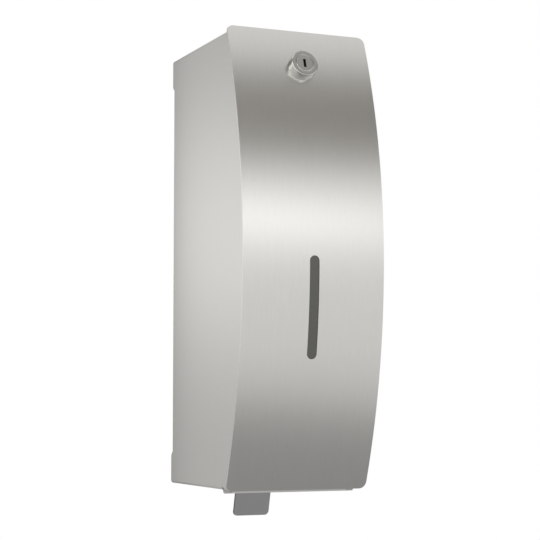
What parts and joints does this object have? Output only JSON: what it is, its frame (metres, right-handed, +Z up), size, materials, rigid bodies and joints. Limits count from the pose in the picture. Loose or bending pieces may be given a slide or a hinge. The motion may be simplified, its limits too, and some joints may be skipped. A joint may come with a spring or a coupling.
{
  "type": "wall soap dispenser",
  "caption": "Wall soap dispenser in brushed steel: a tall box housing with a curved lockable front door, sight window, refillable tank and a push lever underneath.",
  "frame": {"origin": "on the wall plane, midway across, at the middle of the housing's bottom sheet", "axes": "+X to the right seen from the front, +Y into the wall, +Z up"},
  "size_m": [0.1036, 0.1443, 0.3372],
  "materials": {
    "brushed_steel": "satin",
    "plain_steel": "matt",
    "lever_steel": "satin",
    "lock_chrome": "polished",
    "spring_steel": "drawn wire",
    "smoked_window": "smoked",
    "tank_plastic": "natural",
    "pump_plastic": "moulded",
    "black_rubber": "matt"
  },
  "bodies": {
    "housing": {"housing_wrap": "brushed_steel", "back_panel": "brushed_steel", "hinge_rod": "plain_steel", "catch_angle": "plain_steel", "tank_shelf": "plain_steel", "soap_tank": "tank_plastic", "lid_pins": "plain_steel", "pump_body": "pump_plastic", "inlet_seal": "black_rubber", "inlet_valve": "black_rubber", "pump_screws": "plain_steel", "outlet_valve": "black_rubber", "nozzle": "pump_plastic", "pump_gland": "pump_plastic", "lever_bracket": "plain_steel", "lever_pin": "plain_steel", "pin_clips": "plain_steel", "lever_washers": "pump_plastic", "bracket_rivets": "plain_steel", "return_spring": "spring_steel"},
    "door": {"door_plate": "brushed_steel", "door_stiffener_left": "plain_steel", "door_stiffener_right": "plain_steel", "sight_window": "smoked_window", "lock_barrel": "lock_chrome", "lock_nut": "lock_chrome"},
    "lock_key": {"lock_plug": "lock_chrome", "lock_cam": "plain_steel", "cam_screw": "plain_steel"},
    "lever": {"lever": "lever_steel"},
    "piston": {"piston": "pump_plastic", "piston_ring": "black_rubber"},
    "tank_lid": {"tank_lid": "tank_plastic"}
  },
  "joints": [
    {"name": "door_hinge", "type": "hinge", "parent": "housing", "child": "door", "pos_m": [0, -0.1017, 0], "axis": [1, 0, 0], "range_deg": [0, 95]},
    {"name": "lock_turn", "type": "hinge", "parent": "door", "child": "lock_key", "pos_m": [0, -0.12378, 0.2875], "axis": [0, -0.9521, 0.3058], "range_deg": [0, 90]},
    {"name": "lever_swing", "type": "hinge", "parent": "housing", "child": "lever", "pos_m": [0, -0.031, 0.021], "axis": [1, 0, 0], "range_deg": [0, 15], "stiffness_Nm_per_rad": 0.7, "springref_deg": -15.36},
    {"name": "piston_slide", "type": "slide", "parent": "housing", "child": "piston", "axis": [0, -1, 0], "range_m": [0, 0.0059], "deforming": ["return_spring"]},
    {"name": "lid_hinge", "type": "hinge", "parent": "housing", "child": "tank_lid", "pos_m": [0, -0.0132, 0.1659], "axis": [-1, 0, 0], "range_deg": [0, 94]}
  ],
  "couplings": [
    {"joint": "piston_slide", "follows": "lever_swing", "m_per_rad": 0.0224}
  ]
}
